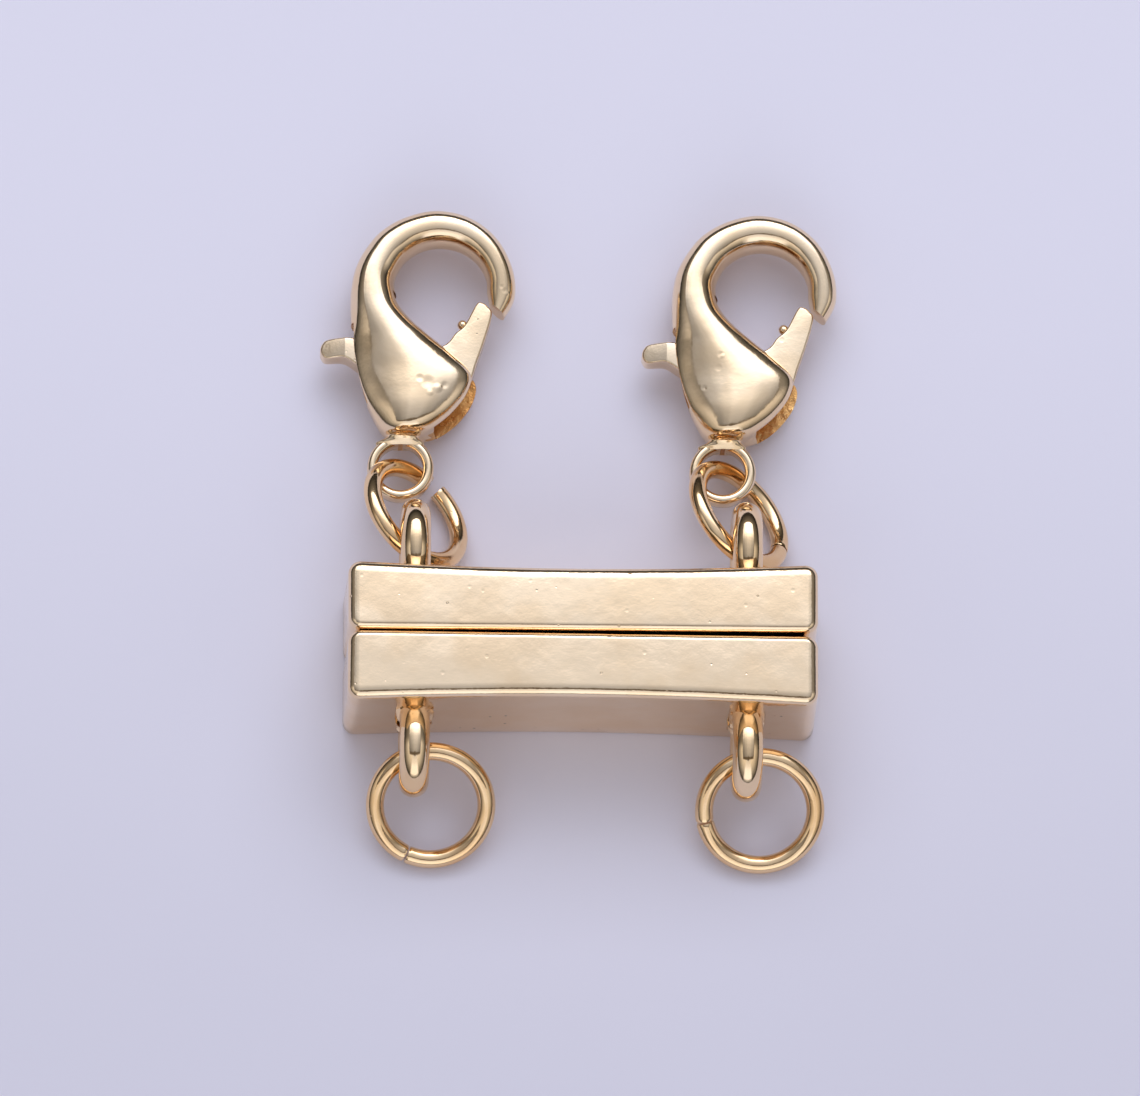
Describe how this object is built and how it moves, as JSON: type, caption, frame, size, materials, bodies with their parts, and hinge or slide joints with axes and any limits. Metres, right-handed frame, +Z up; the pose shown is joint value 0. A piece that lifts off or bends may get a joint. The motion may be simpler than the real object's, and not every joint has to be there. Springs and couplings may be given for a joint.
{
  "type": "magnetic clasp",
  "caption": "Two-strand magnetic jewellery clasp: two gold-plated bars with soldered loops, jump rings in front and lobster claws with sprung levers behind.",
  "frame": {"origin": "middle of the underside of the upper bar, the one that the lobster claws hang from, at rest on a table", "axes": "+X along the bars to the right, +Y away from the seam towards the lobster claws, +Z up"},
  "size_m": [0.0207, 0.0269, 0.0058],
  "materials": {
    "gold": "polished pale gold plate",
    "magnet": "nickel plate"
  },
  "bodies": {
    "upper_half": {"upper_bar": "gold", "upper_magnet_left": "magnet", "upper_magnet_right": "magnet", "upper_ring_left": "gold", "upper_ring_right": "gold", "claw_body_left": "gold", "claw_body_right": "gold", "claw_rivet_left": "gold", "claw_rivet_right": "gold"},
    "lower_half": {"lower_bar": "gold", "lower_magnet_left": "magnet", "lower_magnet_right": "magnet", "lower_ring_left": "gold", "lower_ring_right": "gold"},
    "lever_left": {"claw_lever_left": "gold"},
    "lever_right": {"claw_lever_right": "gold"}
  },
  "joints": [
    {"name": "pull_apart", "type": "slide", "parent": "upper_half", "child": "lower_half", "axis": [0, -1, 0], "range_m": [0, 0.012]},
    {"name": "gate_left", "type": "hinge", "parent": "upper_half", "child": "lever_left", "pos_m": [-0.00646, 0.00925, 0.0015], "axis": [0, 0, 1], "range_deg": [0, 28], "stiffness_Nm_per_rad": 0.004, "springref_deg": -17.19},
    {"name": "gate_right", "type": "hinge", "parent": "upper_half", "child": "lever_right", "pos_m": [0.00642, 0.00919, 0.0015], "axis": [0, 0, 1], "range_deg": [0, 28], "stiffness_Nm_per_rad": 0.004, "springref_deg": -17.19}
  ]
}
